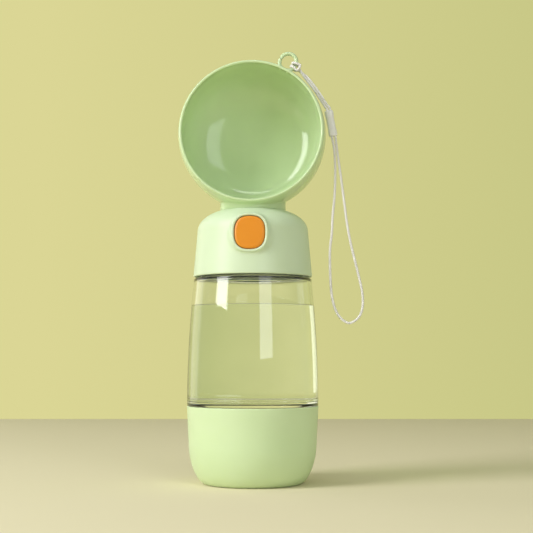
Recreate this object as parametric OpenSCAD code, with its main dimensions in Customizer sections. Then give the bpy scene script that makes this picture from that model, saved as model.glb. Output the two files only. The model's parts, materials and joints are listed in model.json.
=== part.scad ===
// Travel water bottle for dogs. A clear tank stands on a snack cup. A cap with a press button closes the tank,
// and a round drinking bowl faces forwards on a swivel neck above it, with a wrist lanyard on an eyelet.
// Millimetres. +Z is up, the front is towards -Y, and the origin is the centre of the foot on the table.

/* [Snack cup] */
// Outer radius of the cup at its mouth
cup_r = 36.8; // [36.2:0.1:40]
// Height of the cup from the table to its mouth
cup_h = 43; // [40:0.5:60]
// Radius of the flat foot
foot_r = 26; // [22:0.5:29]
// Height of the rounded bottom edge
cup_corner_h = 22; // [16:0.5:24]
// How much smaller the cup's radius is at the top of the rounded edge than at its mouth
cup_taper = 1.1; // [0:0.1:1.5]
// Wall of the cup
cup_wall = 2.2; // [1.8:0.1:2.6]
// Floor of the cup, measured above the recess under the foot
cup_floor = 2; // [1.5:0.1:3]
// Depth of the recess under the foot
foot_recess = 0.6; // [0.3:0.1:1]
// Width of the ring that the foot stands on
foot_ring = 4; // [3:0.5:6]

/* [Tank] */
// Height of the tank's body, from the cup's mouth to the tank's shoulder
tank_h = 71.4; // [60:0.2:110]
// How much the tank's radius shrinks from its bottom to its shoulder
tank_narrowing = 3.7; // [3:0.1:4.2]
// Wall of the tank
tank_wall = 2; // [1.5:0.1:2.4]
// Thickness of the tank's shoulder
tank_roof = 1.2; // [1:0.1:2]
// Clear bottom plate of the tank
tank_floor = 2.6; // [2:0.1:4]
// Rounding of the shoulder's outer edge
tank_edge = 1; // [0.5:0.1:1.5]
// Height of the neck above the shoulder
neck_h = 8.1; // [7:0.1:11]
// Depth of the skirt that plugs into the snack cup
skirt_h = 10; // [6:0.5:12]
// Wall of that skirt
skirt_wall = 1.8; // [1.4:0.1:2.2]
// Height of the ring that seals the skirt in the cup
cup_seal_h = 1.6; // [1:0.1:2]

/* [Cap] */
// Gap that shows between the tank's shoulder and the cap's lip
lip_gap = 0.9; // [0.5:0.1:1.5]
// How far the cap's lip stands out beyond the tank's shoulder
lip_proud = 0.4; // [0:0.1:0.6]
// Height of the cap from its lip to the flat top round the bowl's neck
cap_h = 37.2; // [36.5:0.1:39]
// Height of the domed top of the cap
dome_h = 12.7; // [11.5:0.1:13.5]
// How much the cap's radius shrinks from its lip to the foot of its dome
cap_taper = 2.2; // [1.8:0.1:2.6]
// Squareness of the dome, where 2 is an ellipse
dome_power = 2.3; // [2.1:0.1:2.5]
// Width of the flat land round the bowl's neck
top_land = 0.5; // [0.4:0.1:2]
// Wall of the cap
cap_wall = 2; // [1.6:0.1:2.2]
// Wall of the threaded collar inside the cap
collar_wall = 1.4; // [1.2:0.1:1.5]
// Valve plate on top of the collar
plate_t = 2; // [1.6:0.1:2.4]
// Thickness of the gasket on the tank's neck
gasket_t = 1.5; // [1:0.1:1.8]

/* [Button] */
// Width of the button
button_w = 16.4; // [15:0.1:17.6]
// Height of the button
button_h = 17.9; // [16.5:0.1:18.2]
// Squareness of the button's outline, where 2 is an ellipse
button_power = 2.6; // [2.2:0.1:3.2]
// Height of the button's centre above the cap's lip
button_rise = 22.3; // [21.6:0.1:22.6]
// How far the boss round the button stands out from the cap
boss_proud = 1.2; // [0.8:0.1:1.8]
// Width of the boss round the button, at its front
boss_land = 1.3; // [1:0.1:1.8]
// Length that the button travels when it is pressed
press = 2.5; // [1.5:0.1:2.6]
// Gap between the button and its hole
button_gap = 0.3; // [0.2:0.05:0.4]
// Depth of the button's body behind its face
button_depth = 6.3; // [6:0.1:6.8]

/* [Valve] */
// Distance of the valve stem in front of the bottle's axis
stem_forward = 17; // [16.8:0.1:17.2]
// Radius of the valve stem
stem_r = 1.4; // [1.2:0.05:1.5]
// Radius of the port in the valve plate
port_r = 3.2; // [2.8:0.1:3.4]
// Wall of the valve housing
housing_wall = 1.5; // [1.2:0.1:1.6]
// Outer radius of the water tube in the middle
tube_r = 8.5; // [8:0.1:8.7]
// Thickness of the gasket under the valve housing
housing_gasket_t = 0.8; // [0.6:0.1:1]
// Inner height of the valve chamber
chamber_h = 3; // [2.6:0.1:3.2]
// Length of the valve spring at rest
spring_l = 4.8; // [4.6:0.1:5]
// Wire of the valve spring
spring_wire = 0.5; // [0.4:0.05:0.55]

/* [Bowl] */
// Outer radius of the bowl at its rim
bowl_r = 40.1; // [38:0.1:42]
// Wall of the bowl
bowl_wall = 1.5; // [1.4:0.1:2]
// Depth of the bowl outside, from its rim to its back
bowl_depth = 41; // [38:0.5:43]
// Squareness of the bowl's section, where 2 is an ellipse
bowl_power = 3.2; // [2.6:0.1:4]
// How much further than the rim the body of the bowl stands out
bowl_bulge = 1.4; // [0:0.1:2]
// Upward tilt of the bowl's opening
bowl_tilt = 3.4; // [1:0.1:5]
// How far the back of the bowl stands out behind its neck
bowl_back = 2.4; // [1.5:0.1:4]
// Gap between the underside of the bowl and the cap's flat top
bowl_lift = 0.8; // [0.4:0.1:2]
// Outer radius of the neck that shows between the bowl and the cap
bowl_neck_r = 18.6; // [17.6:0.1:19]
// Wall of that neck
bowl_neck_wall = 1.8; // [1.5:0.1:2.2]
// Outer radius of the stub that turns in the cap
stub_r = 11.5; // [11.3:0.1:12]
// Length of the stub below the neck's foot
stub_l = 7.6; // [7.4:0.1:7.8]
// Radius of the outlet grommet's flange
grommet_r = 5.5; // [5:0.1:5.8]

/* [Eyelet and lanyard] */
// Radius of the hole in the eyelet
eyelet_hole_r = 3.4; // [3.2:0.1:4.2]
// Radius of the eyelet's own wire
eyelet_wire_r = 1.1; // [0.8:0.1:1.3]
// How much taller than wide the eyelet is, along its own radius of the bowl
eyelet_stretch = 1; // [0.4:0.1:2]
// Angle of the eyelet from the top of the bowl, clockwise seen from the front
eyelet_angle = 27; // [20:1:35]
// Distance of the eyelet behind the bowl's rim
eyelet_back = 5; // [4:0.5:8]
// Diameter of the lanyard's cord
cord_d = 1.5; // [1:0.1:1.6]
// Width of the lanyard's flat slider
slider_w = 4.8; // [4.4:0.1:5.2]
// Thickness of the slider
slider_t = 3.2; // [2.8:0.1:3.6]
// Length of the slider
slider_l = 14.6; // [12:0.1:18]

/* [Fits] */
// Radial clearance of parts that turn or slide in each other
run_gap = 0.06; // [0.04:0.01:0.08]
// Clearance between parts that are put together loosely, or that pass each other
loose_gap = 0.3; // [0.25:0.05:0.4]
// Clearance between rings and the grooves that hold them
seat_gap = 0.05; // [0.03:0.01:0.1]

/* [Hidden] */
$fn = 96;

// Colours
cup_green = [0.80, 0.92, 0.62];
cap_green = [0.85, 0.93, 0.76];
bowl_green = [0.78, 0.89, 0.68];
clear = [0.93, 0.96, 0.93, 0.35];
orange = [0.93, 0.58, 0.13];
silicone = [0.86, 0.88, 0.84];
white = [0.93, 0.94, 0.92];
steel = [0.72, 0.73, 0.75];
cord_white = [0.90, 0.88, 0.85];

// Roundings and small steps that the fits don't depend on
corner_power = 1.8;
lip_edge = 0.8;
port_land = 0.7;
seal_land = 1.4;
base_t = 1.6;
roof_t = 2;
ring_wire_r = 0.55;
ring_groove_h = 1.2;
clip_t = 1.1;
clip_depth = 1.2;
clip_stand = 1.7;
clip_land = 0.5;
button_wall = 1.8;
face_t = 2.6;
flange_w = 1.2;
flange_t = 1.2;
sleeve_wall = 1.4;
boss_spread = 1;
boss_reach = 7;
face_step = 0.2;
face_chamfer = 0.6;

// Heights, from the table up
shoulder_z = cup_h + tank_h;
neck_top_z = shoulder_z + neck_h;
plate_z = neck_top_z + gasket_t;
deck_z = plate_z + plate_t;
lip_z = shoulder_z + lip_gap;
top_z = lip_z + cap_h;
dome_z = top_z - dome_h;
neck_foot_z = top_z + loose_gap;
stub_foot_z = neck_foot_z - stub_l;

// Radii of the cup and the tank, which are flush with each other
corner_w = cup_r - cup_taper - foot_r;
mouth_r = cup_r - cup_wall;
skirt_r = mouth_r - loose_gap;
seal_seat_r = mouth_r + 0.9;
tank_top_r = cup_r - tank_narrowing;

// The cap's outline: a cone from the lip up, then the dome
lip_r = tank_top_r + lip_proud;
shoulder_r = lip_r - cap_taper;
top_r = bowl_neck_r + top_land;
dome_full_h = dome_h / pow(1 - pow(top_r / shoulder_r, dome_power), 1 / dome_power);
cone_h = dome_z - lip_z;
function cap_r(z) = lip_r - cap_taper * (z - lip_z) / cone_h;
collar_r = cap_r(deck_z) - cap_wall - loose_gap;
neck_r = collar_r - collar_wall - loose_gap;
face_tilt = atan(cap_taper / cone_h);

// The button, its boss and its sleeve
button_z = lip_z + button_rise;
boss_y = cap_r(button_z) + boss_proud;
face_y = boss_y - face_step;
button_back_y = face_y - button_depth;
sleeve_back_y = button_back_y + flange_t + loose_gap;
cavity_y = face_y - face_t;

// The valve, from the deck up
base_z = deck_z + housing_gasket_t;
chamber_r = port_r + port_land;
chamber_out_r = chamber_r + housing_wall;
roof_z = base_z + chamber_h;
spring_z = roof_z + roof_t;
head_flange_t = 0.5;
head_flange_r = 2.7;
head_r = 2;
head_z = spring_z + spring_l + head_flange_t;
seal_t = 1.6;
seal_r = port_r + seal_land;
foot_t = 1;
duct_half = 2.4;
tube_top_z = top_z - 3;

// The ramp under the slider bar rises backwards at 45 degrees, tangent to the stem's domed head
ramp_z = head_z + (head_r + loose_gap) * sqrt(2);
bar_half = 3;
bar_low_z = head_z + head_r - press + loose_gap;
bar_end_y = -stem_forward + 1.8;
bar_top_z = ramp_z + 1.8 + 1.1;

// The bowl: its rim's centre, the lowest point of its inside, and its outline below the axis
bowl_forward = bowl_depth - bowl_neck_r - bowl_back;
widest_s = 12;
sump_s = widest_s + (bowl_depth - widest_s) / 4;
function bowl_out_r(s) = s < widest_s
    ? bowl_r + bowl_bulge * (1 - pow(1 - s / widest_s, 2))
    : (bowl_r + bowl_bulge) * pow(1 - pow((s - widest_s) / (bowl_depth - widest_s), bowl_power), 1 / bowl_power);
bowl_low = bowl_out_r(sump_s) * cos(bowl_tilt) + sump_s * sin(bowl_tilt);
bowl_z = top_z + bowl_lift + bowl_low;
bowl_floor_z = bowl_z - bowl_low + bowl_wall + 0.1;
bore_r = tube_r + 0.4;
ceiling_z = neck_foot_z + 0.1;
grommet_out_r = grommet_r - 1.3;
grommet_y = -(bore_r - grommet_out_r - 0.7);
neck_back_s = bowl_forward + bowl_neck_r;
neck_top = bowl_z - neck_back_s * sin(bowl_tilt) - bowl_out_r(neck_back_s) + 1;

// The eyelet, in the bowl's own frame: a ring stretched along the bowl's radius
eyelet_r = eyelet_hole_r + eyelet_wire_r;
eyelet_half = eyelet_stretch / 2;
eyelet_out = bowl_r + eyelet_hole_r + eyelet_half + 0.8;
hitch_places = [for (a = [6, -15]) [(a > 0 ? eyelet_half : -eyelet_half) + eyelet_r * sin(a), a]];

// The lanyard, as it hangs beside the bottle: points as [x, y, z]
cord_r = cord_d / 2;
slider_top = [43, -12.5, 207.5];
slider_tilt = 10.5;
slider_dir = [sin(slider_tilt), 0, -cos(slider_tilt)];
slider_side = [cos(slider_tilt), 0, sin(slider_tilt)];
slider_end = slider_top + slider_l * slider_dir;
loop_half = 0.95;
strand_half = 0.8;
strand_start = [27, -12.5, 230.5];
strand_route = [
    [30.7, -12.5, 225.6],
    [35, -12.5, 219.9],
    [38.3, -12.5, 214.8],
    [41.1, -12.5, 210.5]
];
loop_route = [
    [46, -12.5, 186], [46.5, -12, 177.5], [46.5, -12, 168], [46, -12, 158], [45, -12, 148],
    [44.5, -12, 138.5], [43.5, -12, 129.5], [43.5, -12, 119], [44, -12, 108], [45, -12, 101],
    [47, -12, 95], [50, -12, 91], [54, -12, 89], [58, -12, 91], [60.5, -12, 94.5],
    [61.5, -12, 100], [61, -12, 107], [59.5, -12, 114], [57.5, -12, 122.5], [55, -12, 133],
    [53, -12, 144], [51.5, -12, 156], [50, -12, 168], [48.5, -12, 179], [47.5, -12.5, 186]
];

// ---------------------------------------------------------------- shared shapes

// Points of a superellipse quarter, from [a, 0] to [0, b]
function quarter(a, b, p, n = 18) =
    [for (i = [0:n]) let(t = 90 * i / n) [a * pow(cos(t), 2 / p), b * pow(sin(t), 2 / p)]];

function reversed(list) = [for (i = [len(list) - 1:-1:0]) list[i]];

function signed_pow(x, p) = (x < 0 ? -1 : 1) * pow(abs(x), p);

// Rounded rectangle of the button, its hole and its boss
module squircle(w, h) {
    steps = 48;
    polygon([for (i = [0:steps - 1]) let(t = 360 * i / steps)
        [w / 2 * signed_pow(cos(t), 2 / button_power), h / 2 * signed_pow(sin(t), 2 / button_power)]]);
}

// Grown outline of the button, by a margin all round
module button_outline(margin) {
    squircle(button_w + 2 * margin, button_h + 2 * margin);
}

// Bar along the button's axis, from y_back forwards to y_front, both given as distances in front of the axis
module forward(y_back, y_front) {
    translate([0, -y_back, button_z])
        rotate([90, 0, 0])
            linear_extrude(height = y_front - y_back)
                children();
}

// Thin slab across the button's axis, tilted with the cap's side
module tilted_slab(y_front) {
    translate([0, -y_front, button_z])
        rotate([90 - face_tilt, 0, 0])
            translate([0, 0, -0.1])
                linear_extrude(height = 0.1)
                    children();
}

module ring(inner_r, outer_r, low_z, high_z) {
    rotate_extrude()
        translate([inner_r, low_z])
            square([outer_r - inner_r, high_z - low_z]);
}

module o_ring(mean_r, wire_r, z) {
    rotate_extrude()
        translate([mean_r, z])
            circle(r = wire_r, $fn = 24);
}

module at_stem() {
    translate([0, -stem_forward, 0])
        children();
}

module at_bowl() {
    translate([0, -bowl_forward, bowl_z])
        rotate([90 - bowl_tilt, 0, 0])
            children();
}

module at_eyelet() {
    rotate([0, 0, -eyelet_angle])
        translate([0, eyelet_out, -eyelet_back])
            children();
}

// ---------------------------------------------------------------- cords

function unit(v) = v / norm(v);

// Point on a smooth curve through the list, between points i and i + 1
function spline(p, i, t) =
    let(a = p[max(i - 1, 0)], b = p[i], c = p[i + 1], d = p[min(i + 2, len(p) - 1)])
    0.5 * (2 * b + (c - a) * t + (2 * a - 5 * b + 4 * c - d) * t * t + (3 * b - a - 3 * c + d) * t * t * t);

function smooth_path(p, steps) =
    concat([for (i = [0:len(p) - 2]) for (k = [0:steps - 1]) spline(p, i, k / steps)], [p[len(p) - 1]]);

// Direction of a path at one of its points
function heading(p, i) = unit(p[min(i + 1, len(p) - 1)] - p[max(i - 1, 0)]);

// Round tube of radius r and so many sides, swept along the path; side_dir is never along the path
module sweep(path, r, sides, side_dir) {
    count = len(path);
    points = [for (i = [0:count - 1])
        let(t = heading(path, i), u = unit(cross(t, side_dir)), v = cross(t, u))
        for (k = [0:sides - 1])
            let(a = 360 * k / sides)
            path[i] + r * cos(a) * u + r * sin(a) * v];
    walls = [for (i = [0:count - 2]) for (k = [0:sides - 1])
        let(n = (k + 1) % sides, a = i * sides, b = (i + 1) * sides)
        each [[a + k, b + k, b + n], [a + k, b + n, a + n]]];
    start_cap = [for (k = [1:sides - 2]) [0, k, k + 1]];
    last = (count - 1) * sides;
    end_cap = [for (k = [1:sides - 2]) [last, last + k + 1, last + k]];
    polyhedron(points = points, faces = concat(walls, start_cap, end_cap), convexity = 10);
}

// ---------------------------------------------------------------- snack cup

function cup_outer() = concat(
    [[0, 0]],
    [for (p = reversed(quarter(corner_w, cup_corner_h, corner_power))) [foot_r + p[0], cup_corner_h - p[1]]],
    [[cup_r, cup_h], [0, cup_h]]
);

module snack_cup() {
    floor_z = foot_recess + cup_floor;
    inner_w = corner_w - cup_wall;
    ledge_z = cup_h - skirt_h - 1;
    color(cup_green)
        difference() {
            rotate_extrude()
                polygon(cup_outer());
            rotate_extrude()
                polygon(concat(
                    [[0, floor_z]],
                    [for (p = reversed(quarter(inner_w, cup_corner_h - floor_z, corner_power)))
                        [foot_r + p[0], cup_corner_h - p[1]]],
                    [[foot_r + inner_w, ledge_z], [mouth_r, ledge_z + 0.6], [mouth_r, cup_h + 1], [0, cup_h + 1]]
                ));
            ring(mouth_r - 1, seal_seat_r, cup_h - cup_seal_h - loose_gap, cup_h + 1);
            translate([0, 0, -1])
                cylinder(r = foot_r - foot_ring, h = 1 + foot_recess);
        }
}

module cup_seal() {
    color(silicone)
        ring(skirt_r, seal_seat_r - loose_gap, cup_h - cup_seal_h, cup_h);
}

// ---------------------------------------------------------------- tank

// Outline of the tank's side, shrunk by an offset; it narrows faster towards its shoulder
function tank_side(inset, low_z, high_z, steps = 14) =
    [for (i = [0:steps])
        let(z = low_z + (high_z - low_z) * i / steps)
        [cup_r - inset - tank_narrowing * pow((z - cup_h) / tank_h, 2), z]];

module tank() {
    floor_z = cup_h + tank_floor;
    inner_top_z = shoulder_z - tank_roof;
    edge = [for (p = quarter(tank_edge, tank_edge, 2, 6)) [tank_top_r - tank_edge + p[0], shoulder_z - tank_edge + p[1]]];
    color(clear)
        rotate_extrude()
            polygon(concat(
                [[0, cup_h], [skirt_r - skirt_wall, cup_h], [skirt_r - skirt_wall, cup_h - skirt_h],
                 [skirt_r, cup_h - skirt_h], [skirt_r, cup_h]],
                tank_side(0, cup_h, shoulder_z - tank_edge),
                edge,
                [[neck_r, shoulder_z], [neck_r, neck_top_z], [neck_r - tank_wall, neck_top_z],
                 [neck_r - tank_wall, inner_top_z]],
                reversed(tank_side(tank_wall, floor_z + tank_wall, inner_top_z - tank_wall)),
                [[cup_r - tank_wall * 2, floor_z], [0, floor_z]]
            ));
}

module tank_gasket() {
    color(silicone)
        ring(neck_r - tank_wall, neck_r, neck_top_z, plate_z);
}

// ---------------------------------------------------------------- cap

vent_y = 19;
vent_r = 1.5;
screw_r = 1.2;
screw_l = 4.4;
lug_x = tube_r + 3.6;
lug_r = 3;

module at_screws() {
    for (side = [-1, 1])
        translate([side * lug_x, 0, 0])
            children();
}

module at_vent_holes() {
    for (a = [0:90:270])
        translate([0, vent_y, 0])
            rotate([0, 0, a])
                translate([vent_r + 1.3, 0, 0])
                    children();
}

module cap_collar() {
    boss_l = screw_l - plate_t;
    color(white)
        difference() {
            union() {
                translate([0, 0, plate_z])
                    cylinder(r = collar_r, h = plate_t);
                ring(neck_r + loose_gap, collar_r, lip_z + lip_edge, plate_z);
                translate([0, 0, plate_z - boss_l])
                    at_screws()
                        cylinder(r = lug_r, h = boss_l);
            }
            translate([0, 0, plate_z - 1])
                at_stem()
                    cylinder(r = port_r, h = plate_t + 2);
            translate([0, vent_y, plate_z - 1])
                cylinder(r = vent_r + seat_gap, h = plate_t + 2);
            translate([0, 0, plate_z - 1])
                at_vent_holes()
                    cylinder(r = 0.6, h = plate_t + 2, $fn = 24);
            translate([0, 0, deck_z - screw_l - 0.1])
                at_screws()
                    cylinder(r = screw_r + seat_gap, h = screw_l + 1);
        }
}

function cap_outline(inset) = [for (p = quarter(shoulder_r - inset, dome_full_h - inset, dome_power, 24))
    if (p[1] < dome_h - inset) [p[0], dome_z + p[1]]];

function dome_top_r(inset) = (shoulder_r - inset)
    * pow(1 - pow((dome_h - inset) / (dome_full_h - inset), dome_power), 1 / dome_power);

module cap_outside() {
    lip = [for (p = reversed(quarter(lip_edge, lip_edge, 2, 6))) [lip_r - lip_edge + p[0], lip_z + lip_edge - p[1]]];
    rotate_extrude()
        polygon(concat([[0, lip_z]], lip, cap_outline(0), [[dome_top_r(0), top_z], [0, top_z]]));
    hull() {
        tilted_slab(boss_y)
            button_outline(button_gap + boss_land);
        tilted_slab(boss_y - boss_reach)
            button_outline(button_gap + boss_land + boss_spread);
    }
}

module cap_inside() {
    rotate_extrude()
        polygon(concat([[0, lip_z - 1], [lip_r - cap_wall, lip_z - 1]], cap_outline(cap_wall),
            [[dome_top_r(cap_wall), top_z - cap_wall], [0, top_z - cap_wall]]));
}

module cap_shell() {
    bearing_z = stub_foot_z + clip_land + ring_groove_h + loose_gap;
    color(cap_green)
        difference() {
            union() {
                difference() {
                    cap_outside();
                    cap_inside();
                }
                ring(collar_r - 2.5, cap_r(deck_z) - cap_wall + 0.5, deck_z, deck_z + 1.4);
                ring(stub_r + run_gap, stub_r + run_gap + 2.4, bearing_z, top_z - 0.5);
                forward(sleeve_back_y, boss_y - 3.2)
                    button_outline(button_gap + sleeve_wall);
            }
            forward(button_back_y - press, boss_y + 5)
                button_outline(button_gap);
            forward(button_back_y - press - 1, sleeve_back_y)
                button_outline(flange_w + button_gap);
            translate([0, 0, top_z - cap_wall - 1])
                cylinder(r = stub_r + run_gap, h = cap_wall + 2);
        }
}

// ---------------------------------------------------------------- button

module button() {
    color(orange)
        difference() {
            union() {
                hull() {
                    tilted_slab(face_y)
                        button_outline(-face_chamfer);
                    tilted_slab(face_y - face_chamfer)
                        button_outline(0);
                    forward(button_back_y, button_back_y + 0.1)
                        button_outline(0);
                }
                forward(button_back_y, button_back_y + flange_t)
                    button_outline(flange_w);
            }
            forward(button_back_y - 1, cavity_y)
                button_outline(-button_wall);
        }
}

module button_slider() {
    plug_t = 2.4;
    bar_low_y = bar_low_z - ramp_z - stem_forward;
    color(white) {
        forward(cavity_y - plug_t, cavity_y)
            button_outline(-button_wall - seat_gap);
        translate([-bar_half, 0, 0])
            rotate([90, 0, 90])
                linear_extrude(height = 2 * bar_half)
                    polygon([
                        [-cavity_y + plug_t / 2, bar_low_z],
                        [bar_low_y, bar_low_z],
                        [bar_end_y, ramp_z + bar_end_y + stem_forward],
                        [bar_end_y, bar_top_z],
                        [-cavity_y + plug_t / 2, bar_top_z]
                    ]);
    }
}

// ---------------------------------------------------------------- valve

module housing_outline() {
    circle(r = tube_r + 1.6);
    at_stem()
        circle(r = chamber_out_r);
    translate([-duct_half - housing_wall, -stem_forward])
        square([2 * (duct_half + housing_wall), stem_forward]);
    at_screws()
        circle(r = lug_r);
    translate([-lug_x, -lug_r])
        square([2 * lug_x, 2 * lug_r]);
}

module water_outline() {
    circle(r = tube_r - housing_wall);
    at_stem()
        circle(r = chamber_r);
    translate([-duct_half, -stem_forward])
        square([2 * duct_half, stem_forward]);
}

module valve_housing() {
    seal_z = tube_top_z - 1.8;
    color(white)
        difference() {
            union() {
                translate([0, 0, base_z])
                    linear_extrude(height = base_t)
                        housing_outline();
                translate([0, 0, base_z])
                    cylinder(r = tube_r, h = tube_top_z - base_z);
                translate([0, 0, base_z])
                    at_stem()
                        cylinder(r = chamber_out_r, h = spring_z - base_z);
                translate([-duct_half - housing_wall, -stem_forward, base_z])
                    cube([2 * (duct_half + housing_wall), stem_forward, spring_z - base_z]);
            }
            translate([0, 0, base_z - 1])
                linear_extrude(height = chamber_h + 1)
                    water_outline();
            translate([0, 0, base_z])
                cylinder(r = tube_r - housing_wall, h = tube_top_z);
            translate([0, 0, roof_z - 1])
                at_stem()
                    cylinder(r = stem_r + run_gap, h = roof_t + 2);
            translate([0, 0, roof_z - 1])
                at_stem()
                    cylinder(r = stem_r + 2 * ring_wire_r + 3 * seat_gap, h = 1 + 2 * ring_wire_r + seat_gap);
            ring(tube_r - 0.8, tube_r + 1, seal_z - ring_groove_h / 2, seal_z + ring_groove_h / 2);
            translate([0, 0, base_z - 1])
                at_screws()
                    cylinder(r = screw_r + seat_gap, h = base_t + 2);
        }
}

module housing_gasket() {
    color(silicone)
        translate([0, 0, deck_z])
            linear_extrude(height = housing_gasket_t)
                difference() {
                    housing_outline();
                    water_outline();
                    at_screws()
                        circle(r = screw_r + seat_gap);
                }
}

module housing_screws() {
    head_t = 1.5;
    color(steel)
        at_screws()
            translate([0, 0, base_z + base_t])
                difference() {
                    union() {
                        cylinder(r = 2.3, h = head_t);
                        translate([0, 0, -base_t - housing_gasket_t - screw_l + 0.4])
                            cylinder(r = screw_r, h = base_t + housing_gasket_t + screw_l);
                    }
                    for (a = [0, 90])
                        rotate([0, 0, a])
                            translate([-1.4, -0.3, head_t - 0.8])
                                cube([2.8, 0.6, 1]);
                }
}

module valve_stem() {
    foot_z = plate_z - seal_t - foot_t;
    color(white)
        at_stem() {
            translate([0, 0, foot_z])
                cylinder(r = stem_r, h = head_z + head_r / 2 - foot_z);
            translate([0, 0, foot_z])
                cylinder(r = seal_r - 0.6, h = foot_t);
        }
}

module valve_seal() {
    color(silicone)
        at_stem()
            ring(stem_r, seal_r, plate_z - seal_t, plate_z);
}

module stem_seal() {
    color(silicone)
        at_stem()
            o_ring(stem_r + seat_gap + ring_wire_r, ring_wire_r, roof_z + ring_wire_r);
}

module valve_spring() {
    turns = 4;
    steps = 12;
    mean_r = head_flange_r - spring_wire / 2 - 0.1;
    low_z = spring_z + spring_wire / 2 + seat_gap;
    rise = spring_l - spring_wire - 2 * seat_gap;
    coil = [for (i = [0:turns * steps])
        let(a = 360 * i / steps)
        [mean_r * cos(a), mean_r * sin(a), low_z + rise * i / (turns * steps)]];
    color(steel)
        at_stem()
            sweep(coil, spring_wire / 2, 6, [0, 0, 1]);
}

module spring_cap() {
    color(white)
        at_stem()
            difference() {
                union() {
                    translate([0, 0, head_z - head_flange_t])
                        cylinder(r = head_flange_r, h = head_flange_t);
                    intersection() {
                        translate([0, 0, head_z])
                            sphere(r = head_r);
                        translate([0, 0, head_z])
                            cylinder(r = 2 * head_r, h = 2 * head_r);
                    }
                }
                translate([0, 0, head_z - 1])
                    cylinder(r = stem_r, h = 1 + head_r / 2);
            }
}

module vent_valve() {
    color(silicone)
        translate([0, vent_y, 0]) {
            translate([0, 0, plate_z - 0.9])
                cylinder(r = vent_r + 2.6, h = 0.9);
            translate([0, 0, plate_z - 0.9])
                cylinder(r = vent_r, h = plate_t + 1.6);
            translate([0, 0, deck_z + 0.1])
                cylinder(r1 = vent_r + 0.5, r2 = vent_r, h = 1.2);
        }
}

// ---------------------------------------------------------------- swivel

module neck_seal() {
    color(silicone)
        o_ring(bore_r - seat_gap - ring_wire_r, ring_wire_r, tube_top_z - 1.8);
}

module swivel_clip() {
    split = 40;
    groove_r = stub_r - clip_depth;
    low_z = stub_foot_z + clip_land + (ring_groove_h - clip_t) / 2;
    color(steel)
        rotate([0, 0, 90 + split / 2])
            rotate_extrude(angle = 360 - split)
                translate([groove_r + seat_gap, low_z])
                    square([clip_depth + clip_stand, clip_t]);
}

// ---------------------------------------------------------------- bowl

// Section from the rim, over the widest place, to the back, as [radius, distance behind the rim]
function bowl_section(inset) = concat(
    [for (i = [1:5]) let(s = widest_s * i / 6) [bowl_out_r(s) - inset, s]],
    [for (p = quarter(bowl_r + bowl_bulge - inset, bowl_depth - widest_s - inset, bowl_power)) [p[0], widest_s + p[1]]]
);

// Solid of the bowl's outline, from a plane in front of or at its rim
module bowl_solid(inset, front) {
    rotate_extrude()
        polygon(concat([[0, front], [bowl_r - inset, front]], [for (p = bowl_section(inset)) [p[0], -p[1]]]));
}

module bowl_neck() {
    difference() {
        translate([0, 0, neck_foot_z])
            cylinder(r = bowl_neck_r, h = neck_top - neck_foot_z);
        difference() {
            ring(stub_r + bowl_neck_wall, bowl_neck_r - bowl_neck_wall, neck_foot_z - 1, neck_top + 1);
            at_bowl()
                bowl_solid(0, 0);
        }
    }
    translate([0, 0, stub_foot_z])
        cylinder(r = stub_r, h = stub_l + 0.1);
}

module eyelet() {
    at_eyelet() {
        for (a = [0, 180])
            rotate([0, 0, a]) {
                translate([0, eyelet_half, 0])
                    rotate_extrude(angle = 180)
                        translate([eyelet_r, 0])
                            circle(r = eyelet_wire_r, $fn = 32);
                translate([eyelet_r, eyelet_half, 0])
                    rotate([90, 0, 0])
                        cylinder(r = eyelet_wire_r, h = 2 * eyelet_half, $fn = 32);
            }
    }
}

module bowl() {
    lip = bowl_wall / 2;
    groove_z = stub_foot_z + clip_land;
    color(bowl_green) {
        difference() {
            union() {
                at_bowl()
                    bowl_solid(0, -lip);
                bowl_neck();
                at_bowl()
                    eyelet();
            }
            at_bowl()
                bowl_solid(bowl_wall, 1);
            translate([0, 0, stub_foot_z - 1])
                cylinder(r = bore_r, h = ceiling_z - stub_foot_z + 1);
            ring(stub_r - clip_depth, stub_r + 1, groove_z, groove_z + ring_groove_h);
            translate([0, grommet_y, ceiling_z - 1])
                cylinder(r = grommet_out_r + seat_gap, h = 5);
            translate([0, grommet_y, bowl_floor_z])
                cylinder(r = grommet_r + 0.1, h = 3);
        }
        at_bowl()
            rotate_extrude()
                translate([bowl_r - lip, -lip])
                    circle(r = lip, $fn = 32);
    }
}

module outlet_grommet() {
    color(silicone)
        translate([0, grommet_y, 0])
            difference() {
                union() {
                    translate([0, 0, bowl_floor_z])
                        cylinder(r = grommet_r, h = 0.8);
                    translate([0, 0, ceiling_z - 0.6])
                        cylinder(r = grommet_out_r, h = bowl_floor_z - ceiling_z + 1);
                    translate([0, 0, ceiling_z - 0.6])
                        cylinder(r = grommet_out_r + 0.4, h = 0.6 - seat_gap);
                }
                translate([0, 0, ceiling_z - 2])
                    cylinder(r = grommet_out_r - 1, h = 6);
            }
}

// ---------------------------------------------------------------- lanyard

module lanyard_hitch() {
    wrap_r = eyelet_wire_r + seat_gap + cord_r;
    root_l = 2.05;
    first = unit(strand_route[0] - strand_start);
    color(cord_white) {
        at_bowl()
            at_eyelet()
                for (h = hitch_places)
                    translate([eyelet_r * cos(h[1]), h[0], 0])
                        rotate([90, 0, h[1]])
                            rotate_extrude()
                                translate([wrap_r, 0])
                                    circle(r = cord_r, $fn = 24);
        translate(strand_start - root_l * first)
            rotate([0, acos(first[2]), 0])
                cylinder(r = strand_half + cord_r + 0.1, h = root_l);
    }
}

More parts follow.
